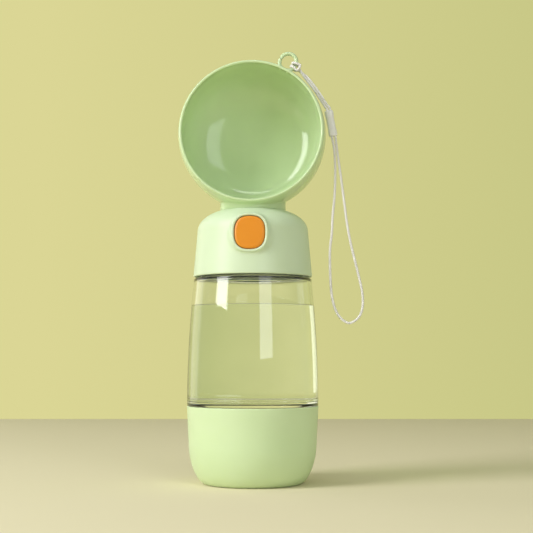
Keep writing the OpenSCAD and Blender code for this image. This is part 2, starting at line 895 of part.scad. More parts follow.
module lanyard_strands() {
    lead = cord_d * slider_dir;
    first = unit(strand_route[0] - strand_start);
    color(cord_white)
        for (side = [-1, 1])
            translate([0, side * strand_half, 0])
                sweep(concat([strand_start],
                    smooth_path(concat([strand_start + cord_d * first], strand_route, [slider_top - lead]), 2),
                    [slider_top]), cord_r, 8, [0, 1, 0]);
}

module lanyard_slider() {
    flat = slider_w - slider_t;
    color(silicone)
        translate(slider_end)
            rotate([0, -slider_tilt, 0])
                linear_extrude(height = slider_l) {
                    for (side = [-1, 1])
                        translate([side * flat / 2, 0])
                            circle(r = slider_t / 2, $fn = 32);
                    square([flat, slider_t], center = true);
                }
}

module lanyard_loop() {
    lead = cord_d * slider_dir;
    left = slider_end - loop_half * slider_side;
    right = slider_end + loop_half * slider_side;
    color(cord_white)
        sweep(concat([left], smooth_path(concat([left + lead], loop_route, [right + lead]), 2), [right]),
            cord_r, 8, [0, 1, 0]);
}

// ---------------------------------------------------------------- nodes

snack_cup();
cup_seal();
tank();
tank_gasket();
cap_collar();
cap_shell();
button();
button_slider();
valve_housing();
housing_gasket();
housing_screws();
valve_stem();
valve_seal();
stem_seal();
valve_spring();
spring_cap();
vent_valve();
neck_seal();
swivel_clip();
bowl();
outlet_grommet();
lanyard_hitch();
lanyard_strands();
lanyard_slider();
lanyard_loop();
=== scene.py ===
import json
import math

import bmesh
import bpy
import numpy as np
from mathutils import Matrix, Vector
from mathutils.geometry import delaunay_2d_cdt


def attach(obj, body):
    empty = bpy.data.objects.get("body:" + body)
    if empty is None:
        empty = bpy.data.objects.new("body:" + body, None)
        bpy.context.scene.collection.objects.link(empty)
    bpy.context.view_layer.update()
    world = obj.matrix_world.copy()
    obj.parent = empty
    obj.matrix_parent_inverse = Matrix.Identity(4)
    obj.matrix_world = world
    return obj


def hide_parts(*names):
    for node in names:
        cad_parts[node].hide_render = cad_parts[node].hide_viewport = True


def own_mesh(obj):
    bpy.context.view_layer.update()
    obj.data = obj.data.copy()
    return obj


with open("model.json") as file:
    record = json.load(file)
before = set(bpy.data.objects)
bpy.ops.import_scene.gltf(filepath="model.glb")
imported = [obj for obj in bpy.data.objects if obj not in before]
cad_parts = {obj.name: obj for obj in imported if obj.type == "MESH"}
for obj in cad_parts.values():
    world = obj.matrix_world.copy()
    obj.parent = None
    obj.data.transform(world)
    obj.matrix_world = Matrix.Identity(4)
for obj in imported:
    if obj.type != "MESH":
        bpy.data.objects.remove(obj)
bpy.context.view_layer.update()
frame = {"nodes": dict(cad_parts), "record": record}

# ---------------------------------------------------------------- measures from the part's source, in mm

# snack cup: outside, corner over the foot, walls and floor, flare above the corner, and the mouth's steps
CUP_R, CUP_H, FOOT_R = 36.8, 43.0, 26.0
CORNER_W, CORNER_H, CORNER_POWER = 9.7, 22.0, 1.8
CUP_WALL, CUP_FLOOR_Z, FOOT_RECESS, FOOT_HOLE_R = 2.2, 2.6, 0.6, 22.0
CUP_FLARE = [(36.22, 32.0), (36.7, 41.0)]
MOUTH_R, SEAT_R, LEDGE_Z, SEAT_Z = 34.6, 35.5, 32.0, 41.1

# tank: the skirt in the cup's mouth, the side that narrows upwards, the neck, and the corner at its floor
SKIRT_R, SKIRT_IN_R, SKIRT_LOW = 34.3, 32.5, 33.0
TANK_NARROWING, TANK_H, TANK_WALL, TANK_ROOF = 3.7, 71.4, 2.0, 1.2
TANK_FLOOR_Z, SHOULDER_Z, NECK_TOP_Z, NECK_R = 45.6, 114.4, 122.5, 28.54
FLOOR_CORNER, INNER_SIDE_LOW = 0.8, 47.4

# water: its level, how far it creeps up the tank's wall, and how deep it reaches into the wall
WATER_Z, CREEP, SINK = 98.8, 0.3, 0.03

# cap: the side from its lip to the dome, the dome, and the shoulder that the bowl's stub turns on
LIP_R, SHOULDER_R, CAP_WALL = 33.5, 31.3, 2.0
LIP_Z, DOME_Z, BEARING_Z, TOP_Z = 115.3, 139.8, 147.2, 152.5
DOME_POWER, DOME_H, DOME_FULL_H = 2.3, 12.7, 15.03

# button and the cap's boss round it, tilted with the cap's side
FACE_TILT = math.radians(5.13)
BUTTON_W, BUTTON_H, BUTTON_POWER, BUTTON_Z = 16.4, 17.9, 2.6, 137.6
BOSS_Y, FACE_Y, BUTTON_BACK_Y, SLEEVE_BACK_Y = 32.7, 32.5, 26.2, 27.7
GAP, LAND = 0.3, 1.3
LAND_OUT = GAP + LAND

# valve spring, and the stem's way down
SPRING_Y, SPRING_R, SPRING_WIRE_R, SPRING_TURNS, SPRING_END = -17.0, 2.35, 0.25, 4, 0.3
SPRING_LOW_Z, SPRING_TOP_Z, STEM_TRAVEL = 131.8, 136.6, 2.5

# bowl: the section behind its rim, its neck with the stub and bore, the outlet in its floor, and the eyelet
BOWL_R, BOWL_DEPTH, BOWL_POWER, BOWL_WALL = 40.1, 41.0, 3.2, 1.5
BOWL_BULGE, WIDEST = 1.4, 12.0
BOWL_C = np.array([0.0, -20.0, 195.715])
BOWL_TILT = math.radians(3.4)
BOWL_NECK_R, NECK_FOOT_Z, STUB_R, STUB_Z, BORE_R, CEILING_Z = 18.6, 152.6, 11.5, 145.2, 8.9, 152.9
OUTLET_Y, OUTLET_R, SPOT_R, SPOT_Z = -4.0, 4.25, 5.6, 154.9
EYELET = np.array([20.34, -12.64, 235.265])
EYELET_R, EYELET_WIRE, EYELET_HALF, EYELET_ANGLE = 4.5, 1.1, 0.5, math.radians(27)

# cord, and half the distance between its two runs above and below the slider
CORD_R, STRAND_HALF, LOOP_HALF = 0.75, 0.8, 0.95

BOWL_X = np.array([1.0, 0.0, 0.0])
BOWL_UP = np.array([0.0, math.sin(BOWL_TILT), math.cos(BOWL_TILT)])
BOWL_FORE = np.array([0.0, -math.cos(BOWL_TILT), math.sin(BOWL_TILT)])

# ---------------------------------------------------------------- camera

PHOTO_TURN = math.radians(2.5)
CAMERA_TILT = math.radians(4.225)
CAMERA_PLACE = (0.03686, -0.66703, 0.072)
LENS, SENSOR = 80.0, 36.0

camera = bpy.data.objects.new("camera", bpy.data.cameras.new("camera"))
bpy.context.scene.collection.objects.link(camera)
bpy.context.scene.camera = camera
camera.data.lens, camera.data.sensor_width = LENS, SENSOR
camera.data.clip_start, camera.data.clip_end = 0.01, 50.0
camera.location = CAMERA_PLACE
level = math.cos(CAMERA_TILT)
sight = Vector((-math.sin(PHOTO_TURN) * level, math.cos(PHOTO_TURN) * level, math.sin(CAMERA_TILT)))
camera.rotation_mode = "QUATERNION"
camera.rotation_quaternion = sight.to_track_quat("-Z", "Y")

# ---------------------------------------------------------------- mesh helpers


def unit(v):
    v = np.asarray(v, float)
    return v / np.linalg.norm(v)


def smooth(t):
    """Soft step from 0 to 1."""
    t = min(1.0, max(0.0, t))
    return t * t * (3 - 2 * t)


def bent(a, b, c, t):
    """Point at t, from 0 to 1, on the curve from a to c that sets out towards b and comes in from b."""
    return (1 - t) ** 2 * a + 2 * t * (1 - t) * b + t * t * c


def circle(radius, y=0.0, n=168):
    """Points round a vertical axis at y."""
    return [(radius * math.sin(a), y + radius * math.cos(a)) for a in (2 * math.pi * k / n for k in range(n))]


def lengths_along(points):
    """Distance of each point of a line from its start."""
    steps = np.linalg.norm(np.diff(np.asarray(points, float), axis=0), axis=1)
    return np.concatenate([[0], np.cumsum(steps)])


def make(name, verts, faces, sharp=38.0):
    """Object from vertices in millimetres, with normals outwards and edges smooth below the sharp angle."""
    me = bpy.data.meshes.new(name)
    metres = [(x / 1000, y / 1000, z / 1000) for x, y, z in verts]
    me.from_pydata(metres, [], [list(map(int, f)) for f in faces])
    bm = bmesh.new()
    bm.from_mesh(me)
    bmesh.ops.recalc_face_normals(bm, faces=bm.faces)
    limit = math.radians(sharp)
    for f in bm.faces:
        f.smooth = True
    for e in bm.edges:
        e.smooth = len(e.link_faces) == 2 and e.calc_face_angle(0.0) < limit
    bm.to_mesh(me)
    bm.free()
    o = bpy.data.objects.new(name, me)
    bpy.context.scene.collection.objects.link(o)
    return o


def settle(obj, body, slot, mat, *nodes):
    """Rides obj on a body, gives it a material, and lets it stand for CAD nodes. The slot is not used."""
    obj.data.materials.clear()
    obj.data.materials.append(mat)
    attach(obj, body)
    if nodes:
        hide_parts(*nodes)
    return obj


def rounded(points, steps=6, closed=True):
    """Profile through (r, z) points; a third number is the radius of that corner."""
    out, n = [], len(points)
    for i, p in enumerate(points):
        rad = p[2] if len(p) > 2 else 0
        if rad <= 0 or (not closed and i in (0, n - 1)):
            out.append((float(p[0]), float(p[1])))
            continue
        a, b, c = (np.array(points[k % n][:2], float) for k in (i - 1, i, i + 1))
        u, v = a - b, c - b
        lu, lv = np.linalg.norm(u), np.linalg.norm(v)
        u, v = u / lu, v / lv
        angle = math.acos(float(np.clip(np.dot(u, v), -1, 1)))
        d = min(rad / math.tan(angle / 2), 0.49 * lu, 0.49 * lv)
        rad = d * math.tan(angle / 2)
        centre = b + unit(u + v) * rad / math.sin(angle / 2)
        s, e = b + u * d - centre, b + v * d - centre
        a0, a1 = math.atan2(s[1], s[0]), math.atan2(e[1], e[0])
        turn = (a1 - a0 + math.pi) % (2 * math.pi) - math.pi
        for k in range(steps + 1):
            t = a0 + turn * k / steps
            out.append((centre[0] + rad * math.cos(t), centre[1] + rad * math.sin(t)))
    return out


def revolve(profile, n, y=0.0, closed=True):
    """Vertices and faces of a profile turned round a vertical axis at y; points on the axis become poles."""
    verts, rows = [], []
    for r, z in profile:
        if r < 1e-6:
            rows.append([len(verts)] * n)
            verts.append((0.0, y, z))
        else:
            rows.append(list(range(len(verts), len(verts) + n)))
            verts += [(px, py, z) for px, py in circle(r, y, n)]
    faces = []
    m = len(rows)
    for i in range(m if closed else m - 1):
        a, b = rows[i], rows[(i + 1) % m]
        for k in range(n):
            j = (k + 1) % n
            f = []
            for x in (a[k], a[j], b[j], b[k]):
                if x not in f:
                    f.append(x)
            if len(f) > 2:
                faces.append(f)
    return verts, faces


class Shell:
    """A mesh that is gathered from rings and grids."""

    def __init__(self):
        self.verts, self.faces = [], []

    def add(self, points):
        start = len(self.verts)
        self.verts += [tuple(float(c) for c in p) for p in points]
        return list(range(start, len(self.verts)))

    def join(self, a, b):
        n = len(a)
        for i in range(n):
            j = (i + 1) % n
            self.faces.append((a[i], a[j], b[j], b[i]))

    def fan(self, ring, point):
        c = self.add([point])[0]
        n = len(ring)
        for i in range(n):
            self.faces.append((ring[i], ring[(i + 1) % n], c))

    def chain(self, rings):
        for a, b in zip(rings, rings[1:]):
            self.join(a, b)


def inside(poly, p):
    x, y = p
    hit = False
    n = len(poly)
    for i in range(n):
        (x0, y0), (x1, y1) = poly[i], poly[(i + 1) % n]
        if (y0 > y) != (y1 > y) and x < (x1 - x0) * (y - y0) / (y1 - y0) + x0:
            hit = not hit
    return hit


def near(poly, p, d):
    q = np.asarray(poly)
    r = np.roll(q, -1, axis=0)
    e, w = r - q, np.asarray(p) - q
    t = np.clip((w * e).sum(1) / np.maximum((e * e).sum(1), 1e-12), 0, 1)
    return float(np.min(np.hypot(*(w - e * t[:, None]).T))) < d


MEAN_R = 30.0


def holed_grid(shell, place, us, vs, scale, loops, margin):
    """Adds the grid place(u, v), closed in u, with holes, and gives back its rows of vertices.
    A loop is its (u, v) points and their vertices in the shell, and scale turns u into a length. The grid
    stays the margin away from each loop, with triangles in between."""
    nu, nv = len(us), len(vs)
    polys = [[(u * scale, v) for u, v in uv] for uv, _ in loops]
    alive = np.ones((nv, nu), bool)
    for poly in polys:
        lo, hi = np.min(poly, axis=0) - 2 * margin, np.max(poly, axis=0) + 2 * margin
        for j in range(nv):
            if not lo[1] <= vs[j] <= hi[1]:
                continue
            for i in range(nu):
                p = (us[i] * scale, vs[j])
                if lo[0] <= p[0] <= hi[0] and (inside(poly, p) or near(poly, p, margin)):
                    alive[j, i] = False
    index = -np.ones((nv, nu), int)
    for j in range(nv):
        for i in range(nu):
            if alive[j, i]:
                index[j, i] = shell.add([place(us[i], vs[j])])[0]
    full = np.zeros((nv - 1, nu), bool)
    for j in range(nv - 1):
        for i in range(nu):
            k = (i + 1) % nu
            if alive[j, i] and alive[j, k] and alive[j + 1, k] and alive[j + 1, i]:
                full[j, i] = True
                shell.faces.append((index[j, i], index[j, k], index[j + 1, k], index[j + 1, i]))
    for poly, (uv, ring) in zip(polys, loops):
        lo, hi = np.min(poly, axis=0) - 4 * margin, np.max(poly, axis=0) + 4 * margin
        points = [Vector(p) for p in poly]
        ids = list(ring)
        edges = [(i, (i + 1) % len(poly)) for i in range(len(poly))]
        seen = {}

        def point(j, i):
            if (j, i) not in seen:
                seen[(j, i)] = len(points)
                points.append(Vector((us[i] * scale, vs[j])))
                ids.append(int(index[j, i]))
            return seen[(j, i)]

        for j in range(nv - 1):
            for i in range(nu - 1):
                cx, cy = (us[i] + us[i + 1]) / 2 * scale, (vs[j] + vs[j + 1]) / 2
                if full[j, i] or not (lo[0] <= cx <= hi[0] and lo[1] <= cy <= hi[1]):
                    continue
                corners = [(j, i), (j, i + 1), (j + 1, i + 1), (j + 1, i)]
                for a, b in zip(corners, corners[1:] + corners[:1]):
                    if alive[a] and alive[b]:
                        edges.append((point(*a), point(*b)))
                for c in corners:
                    if alive[c]:
                        point(*c)
        got, _, tris, orig, _, _ = delaunay_2d_cdt(points, edges, [], 0, 1e-7)
        for t in tris:
            cx, cy = sum(got[k][0] for k in t) / 3, sum(got[k][1] for k in t) / 3
            if inside(poly, (cx, cy)):
                continue
            i = int(np.searchsorted(np.asarray(us) * scale, cx)) - 1
            j = int(np.searchsorted(np.asarray(vs), cy)) - 1
            if 0 <= i < nu - 1 and 0 <= j < nv - 1 and not full[j, i]:
                shell.faces.append(tuple(ids[orig[k][0]] for k in t))
    return index


def tube(path, radius, sides, lobes=0, depth=0.0, pitch=3.4):
    """Closed tube along a path, its sides twisted once in each pitch, with lobes where they are asked for.
    radius is a number or a list."""
    p = np.asarray(path, float)
    n = len(p)
    tangent = np.gradient(p, axis=0)
    tangent /= np.linalg.norm(tangent, axis=1)[:, None]
    dist = lengths_along(p)
    side = unit(np.cross(tangent[0], (0.3, 1.0, 0.2)))
    radius = np.broadcast_to(radius, (n,))
    verts, faces = [], []
    for i in range(n):
        side = unit(side - tangent[i] * np.dot(side, tangent[i]))
        up = np.cross(tangent[i], side)
        twist = 2 * math.pi * dist[i] / pitch
        for k in range(sides):
            a = 2 * math.pi * k / sides
            r = radius[i] * (1 - depth * (1 - abs(math.cos(lobes * a / 2))))
            verts.append(p[i] + r * (math.cos(a + twist) * side + math.sin(a + twist) * up))
    for i in range(n - 1):
        for k in range(sides):
            j = (k + 1) % sides
            faces.append((i * sides + k, i * sides + j, (i + 1) * sides + j, (i + 1) * sides + k))
    for ring, at in ((0, p[0]), (n - 1, p[-1])):
        verts.append(at)
        c = len(verts) - 1
        for k in range(sides):
            faces.append((ring * sides + k, ring * sides + (k + 1) % sides, c))
    return verts, faces


def curve(points, steps=16):
    """Smooth line through the points."""
    p = [np.asarray(q, float) for q in points]
    out = []
    for i in range(len(p) - 1):
        a, b, c, d = p[max(i - 1, 0)], p[i], p[i + 1], p[min(i + 2, len(p) - 1)]
        for k in range(steps):
            t = k / steps
            out.append(0.5 * (2 * b + (c - a) * t + (2 * a - 5 * b + 4 * c - d) * t * t
                              + (3 * b - a - 3 * c + d) * t ** 3))
    return out + [p[-1]]


def even(points, step):
    """The same line with evenly spaced points."""
    p = np.asarray(points, float)
    dist = lengths_along(p)
    n = max(2, int(round(dist[-1] / step)) + 1)
    at = np.linspace(0, dist[-1], n)
    return np.stack([np.interp(at, dist, p[:, k]) for k in range(3)], axis=1)


# ---------------------------------------------------------------- materials


def lin(*srgb):
    """Linear colour of an sRGB colour from 0 to 255."""
    shares = [c / 255 for c in srgb]
    return tuple(c / 12.92 if c <= 0.04045 else ((c + 0.055) / 1.055) ** 2.4 for c in shares) + (1.0,)


def nodes_of(name):
    mat = bpy.data.materials.new(name)
    mat.use_nodes = True
    nt = mat.node_tree
    nt.nodes.clear()
    out = nt.nodes.new("ShaderNodeOutputMaterial")
    return mat, nt, out


def noise(nt, coords, scale, detail=3.0, rough=0.55):
    n = nt.nodes.new("ShaderNodeTexNoise")
    n.inputs["Scale"].default_value = scale
    n.inputs["Detail"].default_value = detail
    n.inputs["Roughness"].default_value = rough
    nt.links.new(coords, n.inputs["Vector"])
    return n.outputs["Fac"]


def ranged(nt, value, low, high, from_low=0.3, from_high=0.7):
    n = nt.nodes.new("ShaderNodeMapRange")
    n.inputs["From Min"].default_value, n.inputs["From Max"].default_value = from_low, from_high
    n.inputs["To Min"].default_value, n.inputs["To Max"].default_value = low, high
    nt.links.new(value, n.inputs["Value"])
    return n.outputs["Result"]


def mixed(nt, factor, a, b):
    n = nt.nodes.new("ShaderNodeMix")
    n.data_type = "RGBA"
    for socket, value in ((n.inputs[0], factor), (n.inputs[6], a), (n.inputs[7], b)):
        if hasattr(value, "is_linked"):
            nt.links.new(value, socket)
        else:
            socket.default_value = value
    return n.outputs[2]


def roughened(nt, b, height, strength, distance):
    """Raises the surface of the shader b by a height from 0 to 1 times the distance, in metres."""
    bump = nt.nodes.new("ShaderNodeBump")
    bump.inputs["Strength"].default_value = strength
    bump.inputs["Distance"].default_value = distance
    nt.links.new(height, bump.inputs["Height"])
    nt.links.new(bump.outputs[0], b.inputs["Normal"])


def uneven(nt, b, xyz, scale, detail, low, high):
    """Gives the shader b a gloss that changes over the surface."""
    nt.links.new(ranged(nt, noise(nt, xyz, scale, detail), low, high), b.inputs["Roughness"])


def light_path(nt, word):
    return nt.nodes.new("ShaderNodeLightPath").outputs[word]


def combined(nt, operation, a, b):
    n = nt.nodes.new("ShaderNodeMath")
    n.operation = operation
    nt.links.new(a, n.inputs[0])
    nt.links.new(b, n.inputs[1])
    return n.outputs[0]


def blended(nt, out, factor, first, second):
    """Sends two shaders to the output: the first where the factor is 0, and the second where it is 1."""
    mix = nt.nodes.new("ShaderNodeMixShader")
    for source, socket in zip((factor, first.outputs[0], second.outputs[0]), mix.inputs):
        nt.links.new(source, socket)
    nt.links.new(mix.outputs[0], out.inputs[0])


def moulded(name, colour, second, roughness, grain, grain_scale=2600.0, subsurface=0.0, level=0.5, speck=0.0):
    """Moulded plastic, rubber or cord: slow drift of colour, uneven gloss, and a fine grain in mm."""
    mat, nt, out = nodes_of(name)
    b = nt.nodes.new("ShaderNodeBsdfPrincipled")
    nt.links.new(b.outputs[0], out.inputs[0])
    xyz = nt.nodes.new("ShaderNodeTexCoord").outputs["Object"]
    drift = ranged(nt, noise(nt, xyz, 38.0, 2.0), 0.0, 1.0)
    base = mixed(nt, drift, lin(*colour), lin(*second))
    if speck:
        dots = ranged(nt, noise(nt, xyz, 900.0, 4.0), 0.0, speck, 0.55, 0.8)
        base = mixed(nt, dots, base, lin(*[c * 0.82 for c in colour]))
    nt.links.new(base, b.inputs["Base Color"])
    uneven(nt, b, xyz, 240.0, 4.0, roughness - 0.035, roughness + 0.045)
    b.inputs["Specular IOR Level"].default_value = level
    if subsurface:
        b.inputs["Subsurface Weight"].default_value = subsurface
        b.inputs["Subsurface Radius"].default_value = (0.9, 1.0, 0.6)
        b.inputs["Subsurface Scale"].default_value = 0.0035
    if grain:
        roughened(nt, b, noise(nt, xyz, grain_scale, 5.0, 0.6), 0.35, grain / 1000)
    return mat


def clear(name, colour, ior, shadow, streaks=True):
    """Clear plastic with faint streaks, or water, that lets the lamps' light through."""
    mat, nt, out = nodes_of(name)
    b = nt.nodes.new("ShaderNodeBsdfPrincipled")
    b.inputs["Transmission Weight"].default_value = 1.0
    b.inputs["IOR"].default_value = ior
    xyz = nt.nodes.new("ShaderNodeTexCoord").outputs["Object"]
    drift = ranged(nt, noise(nt, xyz, 30.0, 2.0), 0.0, 1.0)
    paler = [min(255, c + 3) for c in colour]
    nt.links.new(mixed(nt, drift, lin(*colour), lin(*paler)), b.inputs["Base Color"])
    uneven(nt, b, xyz, 180.0, 3.0, 0.0, 0.015)
    if streaks:
        stretch = nt.nodes.new("ShaderNodeMapping")
        stretch.inputs["Scale"].default_value = (60.0, 60.0, 5.0)
        nt.links.new(xyz, stretch.inputs["Vector"])
        roughened(nt, b, noise(nt, stretch.outputs[0], 1.0, 2.0), 0.25, 0.0004)
    see = nt.nodes.new("ShaderNodeBsdfTransparent")
    see.inputs[0].default_value = lin(*shadow)
    blended(nt, out, light_path(nt, "Is Shadow Ray"), b, see)
    return mat


def metal(name, colour, roughness):
    """Drawn wire or plain steel, a little duller in places."""
    mat, nt, out = nodes_of(name)
    b = nt.nodes.new("ShaderNodeBsdfPrincipled")
    nt.links.new(b.outputs[0], out.inputs[0])
    b.inputs["Metallic"].default_value = 1.0
    xyz = nt.nodes.new("ShaderNodeTexCoord").outputs["Object"]
    drift = ranged(nt, noise(nt, xyz, 500.0, 3.0), 0.0, 1.0)
    duller = [c * 0.9 for c in colour]
    nt.links.new(mixed(nt, drift, lin(*colour), lin(*duller)), b.inputs["Base Color"])
    uneven(nt, b, xyz, 1500.0, 4.0, roughness - 0.05, roughness + 0.08)
    roughened(nt, b, noise(nt, xyz, 4000.0, 3.0), 0.3, 0.00001)
    return mat


MATS = {
    "cup_plastic": moulded("cup_plastic", (214, 233, 189), (210, 230, 184), 0.42, 0.01, subsurface=0.12),
    "cap_plastic": moulded("cap_plastic", (212, 228, 198), (208, 225, 193), 0.4, 0.01, subsurface=0.1),
    "bowl_plastic": moulded("bowl_plastic", (205, 225, 181), (201, 222, 176), 0.1, 0.0, subsurface=0.12),
    "button_plastic": moulded("button_plastic", (229, 143, 27), (226, 138, 23), 0.4, 0.01),
    "white_plastic": moulded("white_plastic", (229, 231, 225), (224, 226, 219), 0.4, 0.01),
    "silicone": moulded("silicone", (214, 217, 208), (207, 210, 200), 0.55, 0.02, subsurface=0.3),
    "steel": metal("steel", (188, 190, 194), 0.28),
    "slider_plastic": moulded("slider_plastic", (232, 230, 230), (227, 225, 224), 0.45, 0.012, subsurface=0.2),
    "cord": moulded("cord", (241, 238, 238), (235, 231, 230), 0.8, 0.05, 5200.0, level=0.3, speck=0.25),
    "clear_plastic": clear("clear_plastic", (247, 250, 246), 1.5, (232, 240, 222)),
}
WATER = clear("water", (249, 252, 248), 1.33, (240, 246, 232), streaks=False)

# ---------------------------------------------------------------- lanyard

SLIDER_TOP, SLIDER_TILT = np.array([43.0, -12.5, 207.5]), math.radians(10.5)
SLIDER_L, SLIDER_W, SLIDER_T = 14.6, 4.8, 3.2
SLIDER_DIR = np.array([math.sin(SLIDER_TILT), 0, -math.cos(SLIDER_TILT)])
SLIDER_SIDE = np.array([math.cos(SLIDER_TILT), 0, math.sin(SLIDER_TILT)])
SLIDER_END = SLIDER_TOP + SLIDER_L * SLIDER_DIR
STRAND_START = np.array([27.0, -12.5, 230.5])
STRAND_ROUTE = [[30.7, -12.5, 225.6], [35, -12.5, 219.9], [38.3, -12.5, 214.8], [41.1, -12.5, 210.5]]
LOOP_ROUTE = [
    [46, -12.5, 186], [46.5, -12, 177.5], [46.5, -12, 168], [46, -12, 158], [45, -12, 148],
    [44.5, -12, 138.5], [43.5, -12, 129.5], [43.5, -12, 119], [44, -12, 108], [45, -12, 101],
    [47, -12, 95], [50, -12, 91], [54, -12, 89], [58, -12, 91], [60.5, -12, 94.5],
    [61.5, -12, 100], [61, -12, 107], [59.5, -12, 114], [57.5, -12, 122.5], [55, -12, 133],
    [53, -12, 144], [51.5, -12, 156], [50, -12, 168], [48.5, -12, 179], [47.5, -12.5, 186],
]
Y = np.array([0.0, 1.0, 0.0])
STRAND_DIR = unit(np.array(STRAND_ROUTE[0]) - STRAND_START)
LEAD = 1.5
STRAND_SHIFT, STRAND_PINCH = 0.45, 0.1


def strand(side):
    """One of the two strands: behind each other at the knot, then side by side, shifted clear of the bowl."""
    route = [STRAND_START, STRAND_START + LEAD * STRAND_DIR] + STRAND_ROUTE
    centre = even(curve(route + [SLIDER_TOP - LEAD * SLIDER_DIR, SLIDER_TOP]), 0.3)
    tangent = np.gradient(centre, axis=0)
    out = []
    for p, along, t in zip(centre, tangent, np.linspace(0, 1, len(centre))):
        away = unit(np.cross(along, Y))
        turn, middle = math.pi / 2 * smooth(t / 0.3), smooth(t / 0.25) * smooth((1 - t) / 0.2)
        across = math.cos(turn) * Y + math.sin(turn) * away
        out.append(p + STRAND_SHIFT * middle * away + side * (STRAND_HALF - STRAND_PINCH * middle) * across)
    return out


def through_slider(side, steps=24):
    out = []
    for t in (k / steps for k in range(1, steps)):
        r = STRAND_HALF + (LOOP_HALF - STRAND_HALF) * smooth(t)
        out.append(SLIDER_TOP + SLIDER_L * t * SLIDER_DIR + side * r * SLIDER_SIDE)
    return out


left, right = SLIDER_END - LOOP_HALF * SLIDER_SIDE, SLIDER_END + LOOP_HALF * SLIDER_SIDE
loop = curve([left, left + LEAD * SLIDER_DIR] + LOOP_ROUTE + [right + LEAD * SLIDER_DIR, right])
line = strand(-1) + through_slider(-1) + loop + through_slider(1)[::-1] + strand(1)[::-1]
cord_path = even(line, 0.2)
TWIST = dict(sides=20, lobes=2, depth=0.26, pitch=2.1)
cord = make("lanyard_cord", *tube(cord_path, CORD_R, **TWIST), sharp=80)

# knot: a cow hitch, whose bar lies in front of its two wraps round the eyelet's wire

EYELET_U = math.sin(EYELET_ANGLE) * BOWL_X + math.cos(EYELET_ANGLE) * BOWL_UP
EYELET_V = math.cos(EYELET_ANGLE) * BOWL_X - math.sin(EYELET_ANGLE) * BOWL_UP


def ring_point(angle):
    """Point on the eyelet's wire, a ring stretched along the bowl's radius, and the way outwards there."""
    rho = math.cos(angle) * EYELET_V + math.sin(angle) * EYELET_U
    return EYELET + EYELET_R * rho + math.copysign(EYELET_HALF, math.sin(angle)) * EYELET_U, rho


def wrap(angle, betas):
    """Points round the wire, just clear of it, at degrees from the way out of the ring to the front."""
    c, rho = ring_point(angle)
    r = EYELET_WIRE + 0.04 + CORD_R
    return [c + r * (math.cos(b) * rho + math.sin(b) * BOWL_FORE) for b in map(math.radians, betas)]


def bar_end(angle):
    c, rho = ring_point(angle)
    return c + 2.5 * rho + 1.5 * BOWL_FORE


def tail(side):
    """The start of a strand, from the knot."""
    start = STRAND_START + side * STRAND_HALF * Y
    return [start, start + 0.9 * STRAND_DIR]


LOWER, UPPER = math.radians(-15), math.radians(6)
bar_middle = (ring_point(LOWER)[0] + ring_point(UPPER)[0]) / 2 + 3.1 * EYELET_V + 1.7 * BOWL_FORE
knot_line = curve(
    tail(-1)[::-1]
    + wrap(LOWER, (-35, -80, -125, -170, -215, -260, -290))
    + [bar_end(LOWER), bar_middle, bar_end(UPPER)]
    + wrap(UPPER, (70, 100, 145, 190, 235, 280, 325))
    + tail(1), 8)
knot = make("lanyard_knot", *tube(even(knot_line, 0.22), CORD_R, **TWIST), sharp=80)


def stadium(w, t, n=16):
    """Outline w wide and t thick, with half round ends."""
    turns = np.linspace(-math.pi / 2, math.pi / 2, n)
    end = [((w - t) / 2 + t / 2 * math.cos(a), t / 2 * math.sin(a)) for a in turns]
    return end + [(-x, -y) for x, y in end]


# the slider's side from end to end: the distance from its top, and how far it stands in
SLIDER_ROWS = [
    (0.0, 0.62), (0.05, 0.35), (0.2, 0.14), (0.45, 0.03), (0.8, 0.0), (3.2, 0.0), (3.5, 0.04), (3.8, 0.14),
    (4.2, 0.2), (10.4, 0.2), (10.8, 0.14), (11.1, 0.04), (11.4, 0.0), (13.8, 0.0), (14.15, 0.03),
    (14.4, 0.14), (14.55, 0.35), (14.6, 0.62),
]


def slider_shell():
    s = Shell()
    rings = []
    for d, inset in SLIDER_ROWS:
        base = SLIDER_TOP + d * SLIDER_DIR
        outline = stadium(SLIDER_W - 2 * inset, SLIDER_T - 2 * inset)
        rings.append(s.add([base + x * SLIDER_SIDE + y * Y for x, y in outline]))
    s.chain(rings)
    s.fan(rings[0], SLIDER_TOP)
    s.fan(rings[-1], SLIDER_END)
    return s.verts, s.faces


slider = make("lanyard_slider_body", *slider_shell())
settle(cord, "drinking_bowl", "cord", MATS["cord"], "lanyard_strands", "lanyard_loop")
settle(knot, "drinking_bowl", "cord", MATS["cord"], "lanyard_hitch")
settle(slider, "drinking_bowl", "slider_plastic", MATS["slider_plastic"], "lanyard_slider")

# ---------------------------------------------------------------- snack cup


def corner(wall, floor_z, n=40):
    """The round corner over the foot, of the cup's outside or of its inside, as (radius, height)."""
    out = []
    for t in (math.pi / 2 * i / n for i in range(n + 1)):
        r = FOOT_R + (CORNER_W - wall) * math.sin(t) ** (2 / CORNER_POWER)
        out.append((r, CORNER_H - (CORNER_H - floor_z) * math.cos(t) ** (2 / CORNER_POWER)))
    return out


rim_z = CUP_H - 0.02
profile = rounded(
    [(0, FOOT_RECESS), (FOOT_HOLE_R, FOOT_RECESS, 0.5), (FOOT_HOLE_R + 0.1, 0.0, 0.3)]
    + corner(0, 0) + CUP_FLARE
    + [(CUP_R, rim_z, 0.35), (SEAT_R, rim_z, 0.25), (SEAT_R, SEAT_Z, 0.2), (MOUTH_R, SEAT_Z, 0.2),
       (MOUTH_R, LEDGE_Z + 0.6, 0.3), (FOOT_R + CORNER_W - CUP_WALL, LEDGE_Z, 0.3)]
    + corner(CUP_WALL, CUP_FLOOR_Z)[::-1] + [(0, CUP_FLOOR_Z)])
cup = make("snack_cup_body", *revolve(profile, 192, closed=False))
settle(cup, "base", "cup_plastic", MATS["cup_plastic"], "snack_cup")

# ---------------------------------------------------------------- tank and water


